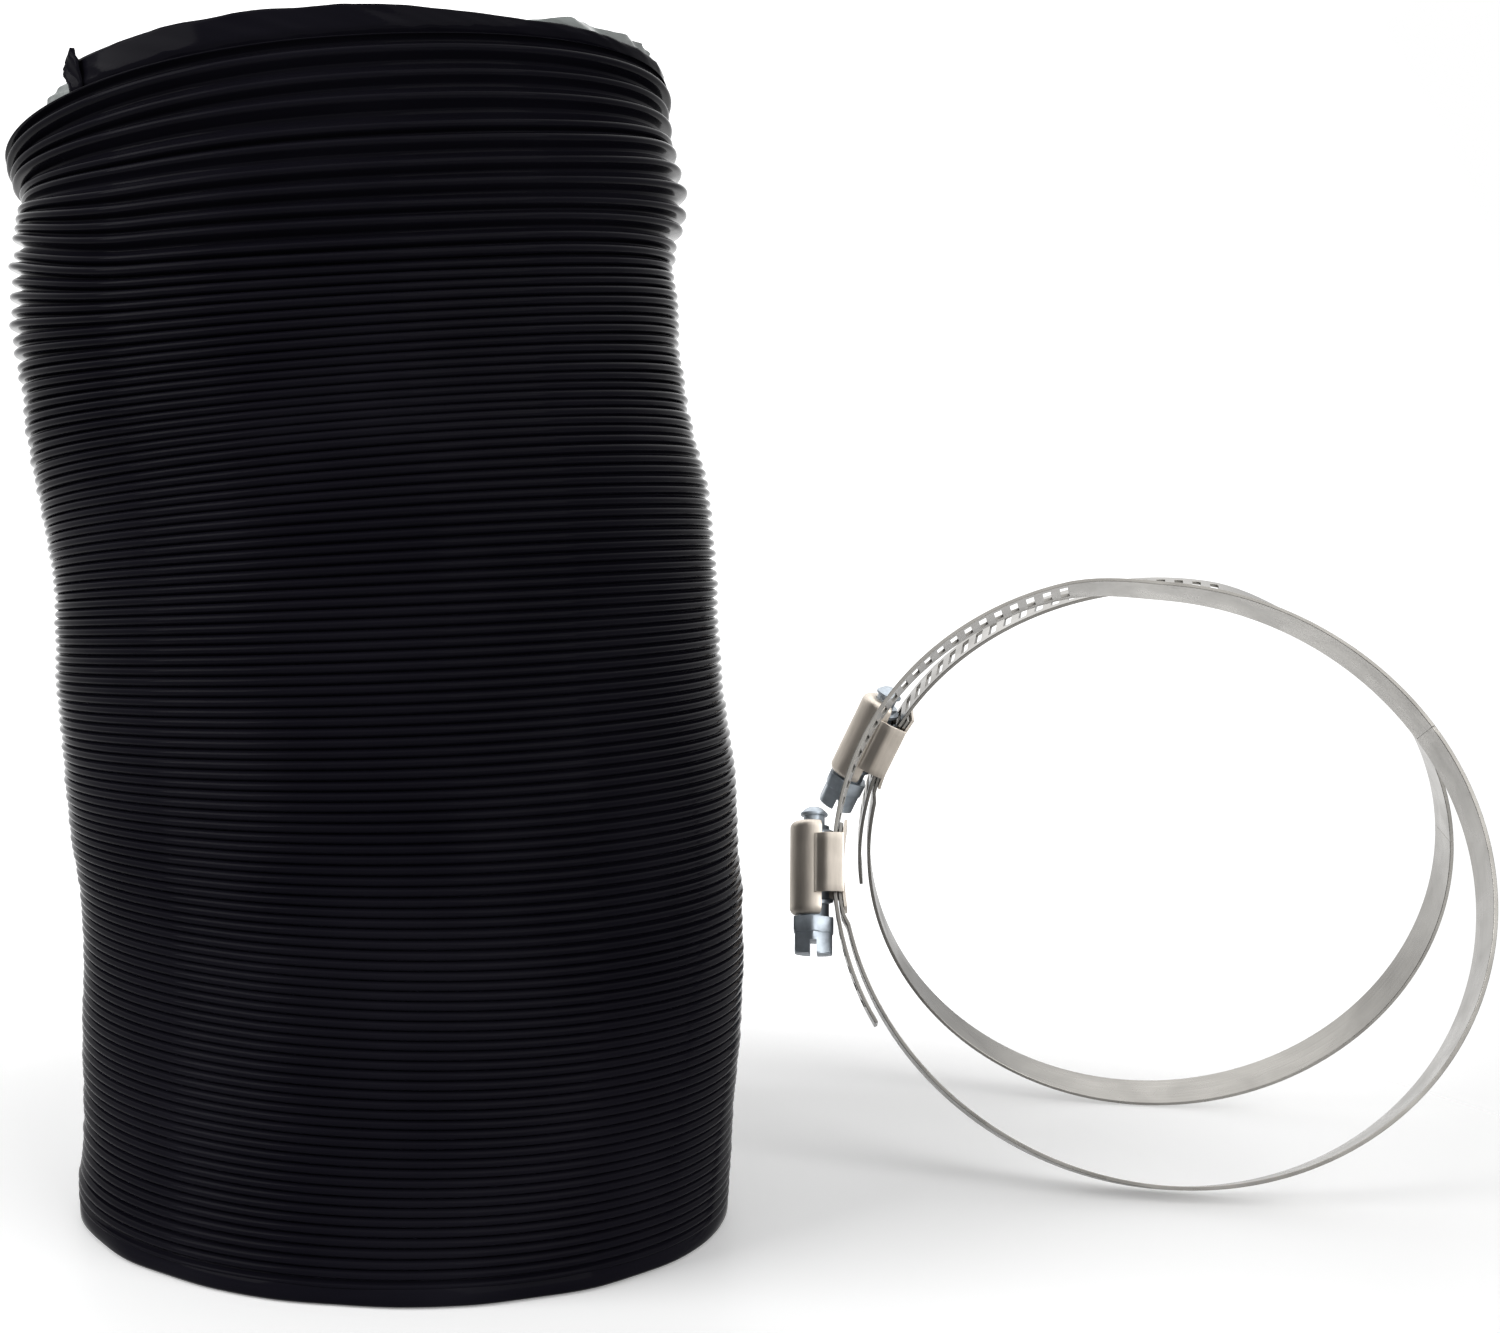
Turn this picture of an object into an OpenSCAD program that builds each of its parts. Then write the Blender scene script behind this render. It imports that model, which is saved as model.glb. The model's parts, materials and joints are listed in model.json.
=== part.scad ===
// Flexible air duct, packed short on its end, with its two worm-drive hose clamps.
// A steel wire is wound between two plies of thin vinyl film. Packed, the turns lie on each other like a
// spring at rest; pulled out, the film between them unfolds. The clamps stand beside it, leaned together.
// Millimetres, +Z up. The origin is the middle of the duct's lower mouth, on the ground.

/* [Duct] */
// Inner diameter of the duct's two mouths
duct_bore_d = 102; // [80:1:160]
// Number of wire turns
turns = 111; // [30:1:160]
// Height of one packed turn in the tight lower part
pitch_low = 1.47; // [1.4:0.01:2]
// Height of one packed turn at the loose upper end
pitch_top = 1.95; // [1.4:0.01:2.6]
// Number of turns over which the packing loosens
loose_turns = 35; // [5:1:40]
// Diameter of the spring wire
wire_d = 1.2; // [0.8:0.05:1.3]
// Thickness of the folded inner ply
inner_ply_t = 1.2; // [1:0.1:3]
// Thickness of the outer ply between two ribs
outer_ply_t = 0.7; // [0.6:0.05:1.2]
// How far each rib of the outer ply stands proud
rib_h = 0.6; // [0.3:0.05:1]
// Height of the plain hem on the ground
hem_h = 2.4; // [1:0.1:10]
// Height of the plain collar above the top turn
collar_h = 5.4; // [4:0.1:30]
// Slope of the collar's upper rim, in degrees
rim_slope = 3; // [0:0.5:4]
// How far the top of the packed duct leans to the left
lean_top = 11; // [0:0.5:15]
// How far its lower part bows out to the right
lean_bow = 1.5; // [0:0.1:3]

/* [Torn film tab] */
// Width of the torn end of the film strip
tab_w = 3.4; // [1:0.1:8]
// How far the torn end stands above the rim
tab_h = 5; // [2:0.1:10]
// Where the torn end is, counted around from the right
tab_at = 232; // [0:1:359]

/* [Clamp band] */
// Inside diameter of a clamp's loop as it stands
loop_d = 104; // [92:0.5:110]
// Width of the steel band
band_w = 9; // [7:0.5:12]
// Thickness of the steel band
band_t = 0.65; // [0.5:0.05:0.9]
// Distance from one thread slot to the next
slot_pitch = 3.14; // [2.8:0.01:3.6]
// Length of a thread slot across the band
slot_l = 5.6; // [4:0.1:6.5]
// Width of a thread slot along the band
slot_w = 1.5; // [1:0.1:1.8]
// Where the slotted length starts before the housing, in degrees
slotted_before = 82; // [60:1:100]
// How far the slotted tail runs out past the housing, in degrees
slotted_after = 31; // [20:1:45]
// Screw turns left before the clamp is at its smallest
turns_to_tight = 13; // [1:1:13]

/* [Clamp housing and screw] */
// Length of the barrel over the worm
barrel_l = 17.2; // [16:0.1:22]
// Wall of the housing
housing_wall = 0.6; // [0.4:0.05:1]
// Length of the strap that holds the barrel to the band
strap_l = 10.7; // [8:0.1:14]
// Outer radius of the worm thread
worm_r = 3.5; // [3.2:0.05:3.8]
// Depth of the worm thread
thread_h = 0.75; // [0.5:0.05:1]
// How far the thread reaches into the slots
thread_bite = 0.3; // [0.1:0.05:0.4]
// Hexagon of the screw head across its flats
head_af = 7; // [5.5:0.1:7]
// Height of the screw head
head_h = 6.6; // [4:0.1:10]
// Width of the slot for a screwdriver
driver_slot_w = 1.2; // [0.8:0.1:2]

/* [Standing clamps] */
// Lean of each clamp, in degrees from upright
clamp_lean = 16; // [10:1:25]
// How far both clamps are turned to the left, in degrees
clamp_yaw = 14; // [0:1:25]
// Distance of the front clamp's centre to the right of the duct's axis
clamp_x = 130; // [125:1:170]
// Distance of the front clamp's centre behind the duct's axis
clamp_y = 10; // [-20:1:20]
// Sideways step of the rear clamp
rear_step = 5; // [0:1:30]
// Turn of the rear clamp in its own plane, in degrees
rear_roll = -24; // [-40:1:0]

/* [Clearances] */
// Play between parts that slide on each other
play = 0.2; // [0.15:0.05:0.3]
// Play around the screw's necks
neck_play = 0.08; // [0.05:0.01:0.1]
// Space around the wire between the plies
wire_play = 0.3; // [0.25:0.05:0.5]

/* [Hidden] */
$fn = 96;

// Radii of the duct's wall, from the bore outwards
bore_r = duct_bore_d / 2;
inner_ply_r = bore_r + inner_ply_t;
wire_r = inner_ply_r + wire_play + wire_d / 2;
outer_ply_r = wire_r + wire_d / 2 + wire_play;
valley_r = outer_ply_r + outer_ply_t;
crest_r = valley_r + rib_h;

// Height of the lower face of turn i: a steady pitch, then a pitch that grows smoothly over the loose turns.
// Heights keep to a fine grid, so that each turn ends exactly where the next one starts.
z_grid = 0.02;
function clamp01(v) = min(max(v, 0), 1);
function loose_part(i) = clamp01((i - turns + loose_turns) / loose_turns);
function turn_z_free(i) = hem_h + pitch_low * i
    + (pitch_top - pitch_low) * loose_turns * (pow(loose_part(i), 3) - pow(loose_part(i), 4) / 2);
function turn_z(i) = round(turn_z_free(i) / z_grid) * z_grid;
top_z = turn_z(turns);
rim_z = top_z + collar_h;

// Sideways place of the stack at height z: a small bow to the right below, then a smooth lean to the left.
// It moves in steps, so that neighbouring turns are either in line or clearly apart.
lean_step = 0.1;
seat = 2.2 * lean_step;
bow_top = 0.45 * top_z;
lean_from = 0.22 * top_z;
function smooth(v) = v * v * (3 - 2 * v);
function lean_free(z) = lean_bow * sin(180 * clamp01(z / bow_top))
    - lean_top * smooth(clamp01((z - lean_from) / (top_z - lean_from)));
function lean(z) = round(lean_free(z) / lean_step) * lean_step;
function turn_x(i) = lean(turn_z(i));

// Radii of a clamp, from the saddle outwards
loop_r = loop_d / 2;
band_out_r = loop_r + band_t;
fixed_out_r = band_out_r + band_t;
slotted_r = fixed_out_r + play;
slotted_out_r = slotted_r + band_t;
saddle_l = 15.6;
saddle_half = saddle_l / 2 / loop_r * 180 / PI;
step_in = 0.1;
seat_gap = 0.03;
saddle_t = band_t - step_in - seat_gap;
worm_x = slotted_out_r + worm_r - thread_bite;
core_r = worm_r - thread_h;
barrel_r = worm_r + play;
barrel_out_r = barrel_r + housing_wall;
channel_hw = band_w / 2 + play;
strap_hw = channel_hw + housing_wall;
channel_top = slotted_out_r + play + 0.15;
slot_step = slot_pitch / slotted_out_r * 180 / PI;
slots_before = floor((slotted_before - 3) / slot_step);
slots_after = floor((slotted_after - 3) / slot_step);
slot_slant = atan(slot_pitch / (2 * PI * (worm_r - thread_h / 2)));
lap = turns_to_tight * slot_step + 6;
fixed_end = 8;

// Screw, from its tip to its head
neck_r = 1.9;
tip_flange_r = 2.45;
lip_t = 0.6;
barrel_lo = -8.1;
barrel_hi = barrel_lo + barrel_l;
head_lo = barrel_hi + 0.35;
head_step = 0.2;
head_band = 0.42 * head_h;
driver_slot_from = 0.64 * head_h;
barrel_shoulder = 1;

// Cross-section of the worm: a round root and one ridge with sloping flanks
root_r = core_r - 0.1;
crest_half = 30;
root_half = 75;
thread_slices = 16;

// Two clamps leaned together: their rims meet at the top, midway between their centres
stand_z = band_out_r * cos(clamp_lean) + band_w / 2 * sin(clamp_lean);
meet_drop = sqrt(1 - pow(rear_step / 2 / slotted_out_r, 2));
rear_back = 2 * (slotted_out_r * meet_drop * sin(clamp_lean) + band_w / 2 * cos(clamp_lean)) + play;

// One turn of the outer ply: flat inside, a rib outside. Its upper edge is narrower than the lower edge of
// the next turn by the seat on each side, so that a turn that stands aside still rests wholly on the next.
module outer_turn(h) {
    rotate_extrude() polygon([
        [outer_ply_r, 0], [valley_r, 0], [crest_r, 0.3 * h], [crest_r, 0.7 * h], [valley_r - seat, h],
        [outer_ply_r + seat, h]]);
}

// One turn of the inner ply: its fold points into the bore, the side to the wire is flat
module inner_turn(h) {
    fold = 0.45 * inner_ply_t;
    rotate_extrude() polygon([
        [bore_r + fold, 0], [inner_ply_r, 0], [inner_ply_r - seat, h], [bore_r + fold + seat, h],
        [bore_r, 0.5 * h]]);
}

module outer_ply() {
    color([0.03, 0.03, 0.035]) union() {
        for (i = [0 : turns - 1]) translate([turn_x(i), 0, turn_z(i)]) outer_turn(turn_z(i + 1) - turn_z(i));
    }
}

module inner_ply() {
    color([0.07, 0.07, 0.08]) union() {
        for (i = [0 : turns - 1]) translate([turn_x(i), 0, turn_z(i)]) inner_turn(turn_z(i + 1) - turn_z(i));
    }
}

// Height of the wire at half turn k
function wire_z(k) = round((turn_z(floor(k / 2)) + turn_z(ceil(k / 2)) + pitch_low) / 2 / z_grid) * z_grid;

// The wire climbs as one length in half turns: each half lies level, half a pitch above the one before, and
// their ends meet face to face in the plane y = 0.
module spring_wire() {
    color("silver") union() {
        for (k = [0 : 2 * turns - 3])
            translate([lean(wire_z(k)), 0, wire_z(k)]) rotate([0, 0, k % 2 == 0 ? 0 : 180])
                rotate_extrude(angle = 180) translate([wire_r, 0]) circle(d = wire_d, $fn = 6);
    }
}

// The lowest end: both plies folded over each other into a plain hem
module lower_hem() {
    color([0.03, 0.03, 0.035]) rotate_extrude() polygon([
        [bore_r, 0], [valley_r - 0.3, 0], [valley_r, 0.4], [valley_r, hem_h], [bore_r, hem_h]]);
}

// Everything above the sloping rim
module above_rim(z) {
    translate([lean(top_z), 0, z]) rotate([0, -rim_slope, 0])
        translate([0, 0, crest_r]) cube([4 * crest_r, 4 * crest_r, 2 * crest_r], center = true);
}

// The free end: a plain sleeve of the outer ply above the last turn
module upper_collar() {
    color([0.03, 0.03, 0.035]) difference() {
        translate([lean(top_z), 0, top_z]) rotate_extrude() polygon([
            [outer_ply_r, 0], [valley_r, 0], [valley_r, 2 * collar_h], [outer_ply_r, 2 * collar_h]]);
        above_rim(rim_z);
    }
}

// The clear inner ply that shows above the rim
module upper_liner() {
    color([0.6, 0.62, 0.63]) translate([lean(top_z), 0, top_z]) rotate_extrude() polygon([
        [bore_r, 0], [inner_ply_r, 0], [inner_ply_r, collar_h], [inner_ply_r - 0.4, collar_h + 0.6],
        [bore_r, collar_h + 0.6]]);
}

// The torn end of the wound film strip, standing up from the collar
module film_tab() {
    span = tab_w / outer_ply_r * 180 / PI;
    foot = rim_z + bore_r * sin(rim_slope) * cos(tab_at) - 1.5;
    color([0.05, 0.05, 0.05]) translate([lean(top_z), 0, foot]) rotate([0, 0, tab_at - span / 2]) difference() {
        rotate_extrude(angle = span) translate([outer_ply_r - 0.4, 0]) square([0.35, tab_h]);
        translate([outer_ply_r - 2, tab_w * 0.55, tab_h * 0.6]) rotate([20, 0, 0]) cube([4, tab_w, tab_h]);
    }
}

// Lays a clamp out from its own plane, with its housing to the left, and stands it in its place
module stand_front() {
    translate([clamp_x, clamp_y, stand_z]) rotate([0, 0, -clamp_yaw]) rotate([90 - clamp_lean, 0, 0])
        rotate([0, 0, 180]) children();
}

module stand_rear() {
    translate([clamp_x, clamp_y, stand_z]) rotate([0, 0, -clamp_yaw]) translate([rear_step, rear_back, 0])
        rotate([90 + clamp_lean, 0, 0]) rotate([0, 0, 180 + rear_roll]) children();
}

// A length of band around the loop's axis
module hoop(r, t, from, to, w) {
    rotate([0, 0, from]) rotate_extrude(angle = to - from) translate([r, -w / 2]) square([t, w]);
}

// The plain length of the band: its end lies on the saddle, steps down beside it, goes round the loop, and
// ends under the slotted length
module band() {
    color([0.66, 0.65, 0.62]) union() {
        hoop(loop_r, band_t, saddle_half + 0.6, 360 - slotted_before + lap, band_w);
        hoop(band_out_r - step_in, band_t + step_in, -fixed_end, saddle_half + 3.2, band_w);
    }
}

// The slotted length of the band, which the worm draws through the housing
module slotted_end() {
    color([0.66, 0.65, 0.62]) difference() {
        hoop(slotted_r, band_t, -slotted_before, slotted_after, band_w);
        for (i = [-slots_before : slots_after])
            rotate([0, 0, i * slot_step]) translate([slotted_r + band_t / 2, 0, 0]) rotate([-slot_slant, 0, 0])
                cube([4 * band_t, slot_w, slot_l], center = true);
    }
}

// The curved plate under the band's fixed end, flush with the inside of the loop
module saddle() {
    color([0.7, 0.66, 0.6])
        hoop(loop_r, saddle_t, -saddle_half, saddle_half, 2 * channel_hw - 2 * seat_gap);
}

// Cross-section of the housing in the plane x, z, without its hollow
module housing_outline() {
    translate([worm_x, 0]) circle(r = barrel_out_r);
    translate([channel_top, -barrel_out_r]) square([worm_x - channel_top, 2 * barrel_out_r]);
    translate([loop_r, -strap_hw]) square([channel_top + housing_wall - loop_r, 2 * strap_hw]);
}

module housing_hollow() {
    translate([worm_x, 0]) circle(r = barrel_r);
    translate([loop_r - 3, -channel_hw]) square([channel_top - loop_r + 3, 2 * channel_hw]);
    translate([channel_top - 1, -barrel_r]) square([worm_x - channel_top + 1, 2 * barrel_r]);
}

// A prism of a cross-section in the plane x, z, along the screw from y = lo to y = hi
module along_screw(lo, hi) {
    translate([0, hi, 0]) rotate([90, 0, 0]) linear_extrude(hi - lo) children();
}

// The barrel's outside, with its ends drawn in round the screw
module barrel_body() {
    translate([worm_x, 0, 0]) rotate([-90, 0, 0]) rotate_extrude() polygon([
        [0, barrel_lo], [barrel_out_r - barrel_shoulder, barrel_lo],
        [barrel_out_r - 0.3 * barrel_shoulder, barrel_lo + 0.3 * barrel_shoulder],
        [barrel_out_r, barrel_lo + barrel_shoulder], [barrel_out_r, barrel_hi - barrel_shoulder],
        [barrel_out_r - 0.3 * barrel_shoulder, barrel_hi - 0.3 * barrel_shoulder],
        [barrel_out_r - barrel_shoulder, barrel_hi], [0, barrel_hi]]);
}

// The pressed housing: a barrel over the worm, cut open towards the band at both ends, and a strap between
module housing() {
    barrel_cut = worm_x - 1.2;
    color([0.72, 0.68, 0.62]) union() {
        difference() {
            along_screw(-strap_l / 2, strap_l / 2) housing_outline();
            along_screw(-strap_l, strap_l) housing_hollow();
        }
        difference() {
            barrel_body();
            along_screw(barrel_lo + lip_t, barrel_hi - lip_t) housing_hollow();
            along_screw(barrel_lo - 1, 0) translate([worm_x, 0]) circle(r = neck_r + neck_play);
            along_screw(0, barrel_hi + 1) translate([worm_x, 0]) circle(r = core_r + neck_play);
            for (lo = [barrel_lo - 1, strap_l / 2 - 0.01])
                translate([0, lo, -10]) cube([barrel_cut, lo < 0 ? -strap_l / 2 + 0.01 - lo : 10, 20]);
            translate([0, -strap_l, -10]) cube([channel_top, 2 * strap_l, 20]);
        }
    }
}

// The worm: one right-hand thread round the core, in step with the slots
module worm(lo, hi) {
    function ridge(a) = clamp01((root_half - abs(a)) / (root_half - crest_half));
    translate([0, 0, lo]) rotate([0, 0, 180 + 360 * lo / slot_pitch])
        linear_extrude(hi - lo, twist = -360 * (hi - lo) / slot_pitch,
                slices = ceil(thread_slices * (hi - lo) / slot_pitch), $fn = 24)
            polygon([for (a = [-180 : 15 : 165])
                (root_r + (worm_r - root_r) * ridge(a)) * [cos(a), sin(a)]]);
}

// The screw head: a hexagon whose outer part is a little narrower, rounded off where it meets the barrel
module head() {
    intersection() {
        union() {
            cylinder(d = head_af / cos(30), h = head_band, $fn = 6);
            cylinder(d = (head_af - 2 * head_step) / cos(30), h = head_h, $fn = 6);
        }
        union() {
            cylinder(r1 = head_af / 2, r2 = head_af / 2 + 1.5, h = 1.5);
            translate([0, 0, 1.5]) cylinder(r = head_af, h = head_h);
        }
    }
}

// The worm screw: domed tip, neck, worm and slotted hexagon head
module screw() {
    core_lo = barrel_lo + lip_t + play;
    thread_hi = barrel_hi - lip_t - play;
    color([0.62, 0.66, 0.7]) translate([worm_x, 0, 0]) rotate([-90, 0, 0]) difference() {
        union() {
            worm(core_lo, thread_hi);
            translate([0, 0, thread_hi]) cylinder(r = core_r, h = head_lo - thread_hi);
            translate([0, 0, barrel_lo - 1.2]) cylinder(r = neck_r, h = head_lo - barrel_lo + 2.2);
            translate([0, 0, barrel_lo - 1.6]) cylinder(r = tip_flange_r, h = 0.5);
            translate([0, 0, barrel_lo - 2.8]) cylinder(r1 = 1, r2 = tip_flange_r, h = 1.2);
            translate([0, 0, head_lo]) head();
        }
        translate([-head_af, -driver_slot_w / 2, head_lo + driver_slot_from])
            cube([2 * head_af, driver_slot_w, head_h]);
    }
}

module front_band() { stand_front() band(); }
module front_slotted_end() { stand_front() slotted_end(); }
module front_saddle() { stand_front() saddle(); }
module front_housing() { stand_front() housing(); }
module front_screw() { stand_front() screw(); }
module rear_band() { stand_rear() band(); }
module rear_slotted_end() { stand_rear() slotted_end(); }
module rear_saddle() { stand_rear() saddle(); }
module rear_housing() { stand_rear() housing(); }
module rear_screw() { stand_rear() screw(); }

outer_ply();
inner_ply();
spring_wire();
lower_hem();
upper_collar();
upper_liner();
film_tab();
front_band();
front_slotted_end();
front_saddle();
front_housing();
front_screw();
rear_band();
rear_slotted_end();
rear_saddle();
rear_housing();
rear_screw();
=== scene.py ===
import json
import math

import bpy
import numpy as np
from mathutils import Matrix, Vector


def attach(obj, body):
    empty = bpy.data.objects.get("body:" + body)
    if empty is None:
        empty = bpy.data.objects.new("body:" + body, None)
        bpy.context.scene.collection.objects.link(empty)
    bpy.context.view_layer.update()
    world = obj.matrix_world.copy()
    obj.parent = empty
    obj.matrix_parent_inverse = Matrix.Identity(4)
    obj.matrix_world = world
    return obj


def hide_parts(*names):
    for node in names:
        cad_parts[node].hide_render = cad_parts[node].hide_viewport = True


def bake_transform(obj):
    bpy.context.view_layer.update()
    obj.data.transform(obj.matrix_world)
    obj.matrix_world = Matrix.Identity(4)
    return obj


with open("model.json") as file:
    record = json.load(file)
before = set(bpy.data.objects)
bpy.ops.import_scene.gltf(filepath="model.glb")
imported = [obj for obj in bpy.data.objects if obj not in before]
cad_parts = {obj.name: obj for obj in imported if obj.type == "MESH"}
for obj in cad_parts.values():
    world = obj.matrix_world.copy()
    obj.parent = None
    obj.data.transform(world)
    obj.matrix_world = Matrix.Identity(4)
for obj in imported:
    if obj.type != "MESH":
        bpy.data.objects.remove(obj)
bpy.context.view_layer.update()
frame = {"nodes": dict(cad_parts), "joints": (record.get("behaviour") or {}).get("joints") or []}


# ---- Outer ply ----------------------------------------------------------------------------------
# A strip of thin black vinyl film, wound and welded over a steel wire. Packed short, every turn of
# wire shows as a round rib, and the film between two turns is pushed in. The upper turns lie loose.

mm = 0.001
turns, loose_turns = 111, 35
tight_pitch, loose_pitch = 1.47 * mm, 1.95 * mm
free_end_rise = 0.9 * mm
hem_height = 2.4 * mm


def ramp(value, start, end):
    """0 up to start, 1 from end on, and straight between them."""
    return np.clip((value - start) / (end - start), 0, 1)


def smooth(part):
    """A part from 0 to 1, eased at both ends."""
    return part * part * (3 - 2 * part)


def knots(seed, count):
    """Smooth random values, one a knot, read at any place along the winding."""
    values = np.random.default_rng(seed).uniform(-1, 1, count + 2)

    def at(place):
        place = np.clip(place, 0, count)
        low = np.floor(place).astype(int)
        part = smooth(place - low)
        return values[low] * (1 - part) + values[low + 1] * part

    return at


def smooth_line(points, spread=4.0):
    """A smooth curve near points of (height in mm, value in mm)."""
    step, edge = 0.5, 40
    grid = np.arange(-20.0, 220.0, step)
    line = np.interp(grid, [p[0] for p in points], [p[1] for p in points])
    kernel = np.hanning(int(spread / step) + 3)
    line = np.convolve(np.pad(line, edge, "edge"), kernel / kernel.sum(), "same")[edge:-edge]
    return lambda z: np.interp(z / mm, grid, line) * mm


def looseness(u):
    return ramp(u, turns - loose_turns, turns)


def turn_height(u):
    """Height of the wire at turn u: an even pitch, then a pitch that opens towards the free end."""
    s = looseness(u)
    opened = (loose_pitch - tight_pitch) * loose_turns * (s**3 - s**4 / 2) + free_end_rise * s**2
    return hem_height + tight_pitch * u + opened


# where the middle of the stack stands, and how wide it is over the ribs
stack_middle = smooth_line(
    [(0, -0.8), (10, 0.2), (40, 1.3), (52, 0.9), (60, -0.2), (72, -1.0), (86, -2.8), (104, -3.4),
     (118, -5.5), (126, -7.5), (142, -9.8), (156, -10.3), (164, -8.5), (174, -11.3), (180, -11.6)])
stack_radius = smooth_line(
    [(0, 54.1), (15, 53.9), (28, 54.7), (50, 55.0), (70, 55.8), (100, 55.1), (120, 56.0), (130, 55.2),
     (150, 55.4), (154, 55.1), (170, 55.7), (180, 55.7)])
# how far the front of the turns has sunk under the ones above, and how far their right side stands up
front_sunk = smooth_line(
    [(0, 0), (10, 0), (50, 2.6), (90, 2.4), (112, 1.7), (122, 2.3), (154, 9.0), (160, 7.6),
     (168, 3.9), (174, -0.4), (190, -0.4)])
side_raised = smooth_line(
    [(0, 0), (20, -0.9), (45, -1.1), (60, 0), (76, 1.5), (98, 2.1), (120, 4.3), (140, 3.8),
     (156, 2.4), (168, 3.1), (174, 4.2), (190, 4.2)])
# at the two sides the topmost turns are pressed together, and the ones below them gape: these two
# are read by the number of the turn
left_gathered = smooth_line(
    [(0, 0), (turns - 29, 0), (turns - 23, 0.4), (turns - 16, 1.5), (turns - 9, 5.2), (turns, 0)])
right_gathered = smooth_line(
    [(0, 0), (turns - 12, 0), (turns - 10, -1.4), (turns - 8, 0), (turns - 7, -0.4),
     (turns - 5, 1.75), (turns, 0)])
# over the last turns the right side is lifted to meet the collar's rim
lifted_turns, right_lift = 12, 3.4 * mm
rise_of_turn, push_of_turn, side_of_turn = knots(3, 2 * turns), knots(8, 2 * turns), knots(21, 3 * turns)


def settled(u, angle):
    """Height of turn u at an angle, in a stack that has settled unevenly under its own weight."""
    level = turn_height(u)
    cos, sin = np.cos(angle), np.sin(angle)
    far_left, far_right = np.clip(-2 * cos - 1, 0, 1) ** 2, np.clip(2 * cos - 1, 0, 1) ** 2
    # the front goes down by all that it has sunk, and the back comes up by 0.6 of that
    z = level + front_sunk(level) * (0.8 * sin - 0.2 * sin * sin) + side_raised(level) * cos
    z = z + left_gathered(u * mm) * far_left + right_gathered(u * mm) * far_right
    return z + right_lift * ramp(u, turns - lifted_turns, turns) * np.clip(cos, 0, 1) ** 2


def wire_at(place):
    """The rib over the wire at a place along the winding, counted in turns from the wire's lower
    end: middle of the stack, radius over the rib, height, and how much of the rib is there."""
    pressed_pitch, most_spare = 1.36 * mm, 1.2 * mm
    u = np.clip(place + 0.5, 0, turns)
    angle = 2 * np.pi * place
    # packed tight the turns lie evenly. Where they have room each lies a little high or low, and the
    # loose ones are pushed further out and to the side than the others
    spare = np.clip(settled(u + 0.5, angle) - settled(u - 0.5, angle) - pressed_pitch, 0, most_spare)
    z = settled(u, angle) + 0.42 * spare * rise_of_turn(2 * u)
    radius = stack_radius(z) + (0.10 + 0.34 * looseness(u)) * push_of_turn(2 * u) * mm
    middle = stack_middle(z) + (0.05 + 0.30 * looseness(u)) * side_of_turn(u * 1.5) * mm
    grown = np.clip(place + 1, 0, 1) * np.clip(turns - place, 0, 1)
    return middle, radius, z, grown


def grid_faces(rows, columns, closed="", flip=False):
    """Four-sided faces over a grid of points that is numbered row by row. The grid can be closed
    from its last row, or its last column, to its first."""
    row, column = np.meshgrid(np.arange(rows if closed == "rows" else rows - 1),
                              np.arange(columns if closed == "columns" else columns - 1), indexing="ij")
    row, column = row.ravel(), column.ravel()
    next_row, next_column = (row + 1) % rows, (column + 1) % columns
    corners = [row * columns + column, row * columns + next_column,
               next_row * columns + next_column, next_row * columns + column]
    if flip:
        corners = [corners[0], corners[3], corners[2], corners[1]]
    return np.stack(corners, -1).tolist()


def add_piece(name, points, faces, sharp_from=None):
    """A new object, smooth but for edges that turn by more than sharp_from degrees."""
    mesh = bpy.data.meshes.new(name)
    mesh.from_pydata(points, [], faces)
    mesh.update()
    mesh.shade_smooth()
    if sharp_from:
        mesh.set_sharp_from_angle(angle=math.radians(sharp_from))
    piece = bpy.data.objects.new(name, mesh)
    bpy.context.scene.collection.objects.link(piece)
    return piece


def wound_film(name, rib, valley, around):
    """A film wound in a helix. rib is its cross-section over the wire, as (height from the wire,
    way in from the rib's top); valley is the least way in between two turns."""
    place = np.arange((turns + 1) * around + 1) / around - 1
    cos, sin = np.cos(2 * np.pi * place), np.sin(2 * np.pi * place)
    middle, radius, z, grown = wire_at(place)
    rows = [(middle, radius - inward - 0.5 * (1 - grown) * mm, z + up * grown) for up, inward in rib]
    next_middle, next_radius, next_z, next_grown = wire_at(place + 1)
    low, high = z + rib[-1][0] * grown, next_z + rib[0][0] * next_grown
    # the wider two turns stand apart, the deeper the film between them falls in
    depth = valley + 0.45 * np.clip(high - low, 0, 1.2 * mm) + 0.4 * mm * looseness(place + 0.5)
    for part, share in ((0.25, 0.72), (0.5, 1.0), (0.75, 0.72)):
        rows.append((middle + part * (next_middle - middle),
                     np.minimum(radius, next_radius) - share * depth,
                     low + part * (high - low)))
    points = np.array([np.stack([m + r * cos, r * sin, h], -1) for m, r, h in rows])
    n, count = points.shape[:2]
    # the last row of each turn joins the first row of the next turn
    k = np.arange(count - 1 - around)
    joins = np.stack([(n - 1) * count + k, (n - 1) * count + k + 1, k + around + 1, k + around], -1)
    return add_piece(name, points.reshape(-1, 3).tolist(), grid_faces(n, count) + joins.tolist())


def add_node(tree, kind, inputs=None, **settings):
    """One shader node, with its own settings and the values of its inputs."""
    node = tree.nodes.new("ShaderNode" + kind)
    for setting, value in settings.items():
        setattr(node, setting, value)
    for socket, value in (inputs or {}).items():
        node.inputs[socket].default_value = value
    return node


def connect(tree, *pairs):
    for output, target in pairs:
        tree.links.new(output, target)


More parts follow.
